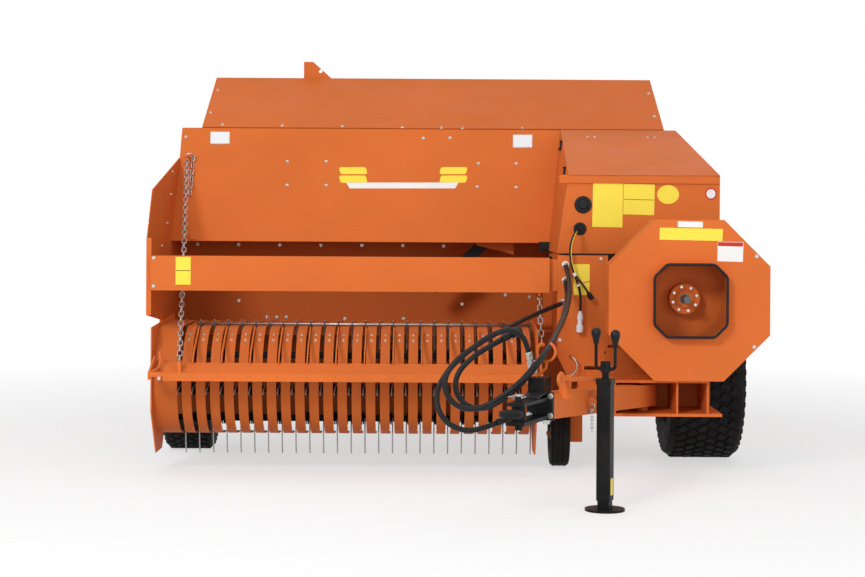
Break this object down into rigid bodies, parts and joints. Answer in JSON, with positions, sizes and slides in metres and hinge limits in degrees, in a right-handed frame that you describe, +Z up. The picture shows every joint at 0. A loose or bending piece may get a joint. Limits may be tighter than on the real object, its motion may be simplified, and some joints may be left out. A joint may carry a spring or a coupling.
{
  "type": "square baler",
  "caption": "Towed small square baler with a tined pickup, offset side chamber, flywheel cover, folding chute, swinging drawbar and parking jack.",
  "frame": {"origin": "centre of the footprint box, on the ground", "axes": "+X to the right seen from the front, +Y to the back, +Z up"},
  "size_m": [2.926, 4.9356, 2.112],
  "materials": {
    "orange_paint": "satin",
    "dark_casting": "rough",
    "black_paint": "satin",
    "bright_steel": "satin",
    "spring_steel": "satin",
    "hose_rubber": "matte",
    "tyre_rubber": "matte",
    "rim_paint": "satin"
  },
  "bodies": {
    "chassis": {"main_frame": "orange_paint", "axle_beam": "orange_paint", "bale_chamber": "orange_paint", "plunger": "dark_casting", "knotters": "dark_casting", "tension_rails": "orange_paint", "tension_yoke": "orange_paint", "tension_screws": "dark_casting", "gearbox": "dark_casting", "flywheel_guard": "orange_paint", "guard_cradle": "orange_paint", "front_panel": "orange_paint", "side_sheet": "orange_paint", "crop_deck": "orange_paint", "bulkhead": "orange_paint", "cross_bar": "orange_paint", "housing": "orange_paint", "lower_panel": "orange_paint", "hood": "orange_paint", "packer_rail": "black_paint", "top_bracket": "orange_paint", "hose_fittings": "bright_steel", "chain_left": "bright_steel", "chain_right": "bright_steel"},
    "right_wheel": {"right_wheel_tyre": "tyre_rubber", "right_wheel_rim": "rim_paint"},
    "left_wheel": {"left_wheel_tyre": "tyre_rubber", "left_wheel_rim": "rim_paint"},
    "pickup": {"stripper_bands": "orange_paint", "pickup_end_left": "orange_paint", "pickup_end_right": "orange_paint", "gauge_arm": "orange_paint"},
    "gauge_wheel": {"gauge_wheel_tyre": "tyre_rubber", "gauge_wheel_rim": "rim_paint"},
    "reel": {"reel_core": "orange_paint", "tine_bars": "spring_steel"},
    "crop_guard": {"crop_guard": "orange_paint"},
    "flywheel": {"flywheel": "bright_steel", "input_shaft": "bright_steel"},
    "needles": {"needle_yoke": "dark_casting"},
    "chute": {"bale_chute": "orange_paint"},
    "lid": {"housing_lid": "orange_paint"},
    "feeder": {"packer_carriage": "orange_paint", "packer_tines": "black_paint"},
    "drawbar": {"drawbar": "orange_paint", "hitch_clevis": "black_paint", "tow_eye": "black_paint", "jack_body": "black_paint", "hose_hook": "orange_paint", "latch_rod": "orange_paint", "hose_couplers": "bright_steel", "hose_upper": "hose_rubber", "hose_middle": "hose_rubber", "hose_lower": "hose_rubber"},
    "jack_leg": {"jack_leg": "black_paint"}
  },
  "joints": [
    {"name": "right_wheel_spin", "type": "hinge", "parent": "chassis", "child": "right_wheel", "pos_m": [1.276, -0.02221, 0.425], "axis": [1, 0, 0], "continuous": true},
    {"name": "left_wheel_spin", "type": "hinge", "parent": "chassis", "child": "left_wheel", "pos_m": [-1.339, 0.19779, 0.297], "axis": [1, 0, 0], "continuous": true},
    {"name": "pickup_lift", "type": "hinge", "parent": "chassis", "child": "pickup", "pos_m": [-0.487, -0.16221, 0.67], "axis": [-1, 0, 0], "range_deg": [0, 12], "deforming": ["chain_left", "chain_right"]},
    {"name": "gauge_wheel_spin", "type": "hinge", "parent": "pickup", "child": "gauge_wheel", "pos_m": [0.54, -0.38721, 0.158], "axis": [1, 0, 0], "continuous": true},
    {"name": "reel_spin", "type": "hinge", "parent": "pickup", "child": "reel", "pos_m": [-0.487, -0.60221, 0.402], "axis": [1, 0, 0], "continuous": true},
    {"name": "crop_guard_lift", "type": "hinge", "parent": "pickup", "child": "crop_guard", "pos_m": [-0.487, -0.86421, 0.547], "axis": [-1, 0, 0], "range_deg": [0, 25], "deforming": ["chain_left"]},
    {"name": "flywheel_spin", "type": "hinge", "parent": "chassis", "child": "flywheel", "pos_m": [1.093, -0.77221, 0.845], "axis": [0, 1, 0], "continuous": true},
    {"name": "needle_swing", "type": "hinge", "parent": "chassis", "child": "needles", "pos_m": [0.803, 1.19779, 0.8], "axis": [-1, 0, 0], "range_deg": [0, 54]},
    {"name": "chute_fold", "type": "hinge", "parent": "chassis", "child": "chute", "pos_m": [0.803, 1.83979, 0.602], "axis": [1, 0, 0], "range_deg": [0, 75]},
    {"name": "lid_open", "type": "hinge", "parent": "chassis", "child": "lid", "pos_m": [1.308, -0.50221, 1.4255], "axis": [-0.0649, 0.9696, 0.2357], "range_deg": [0, 75]},
    {"name": "feeder_slide", "type": "slide", "parent": "chassis", "child": "feeder", "axis": [1, 0, 0], "range_m": [-0.8, 0.15]},
    {"name": "drawbar_swing", "type": "hinge", "parent": "chassis", "child": "drawbar", "pos_m": [0.903, -0.80221, 0.392], "axis": [0, 0, 1], "range_deg": [0, 40], "deforming": ["hose_upper", "hose_middle", "hose_lower"]},
    {"name": "jack_extend", "type": "slide", "parent": "drawbar", "child": "jack_leg", "axis": [0, 0, 1], "range_m": [-0.3, 0.03]}
  ]
}
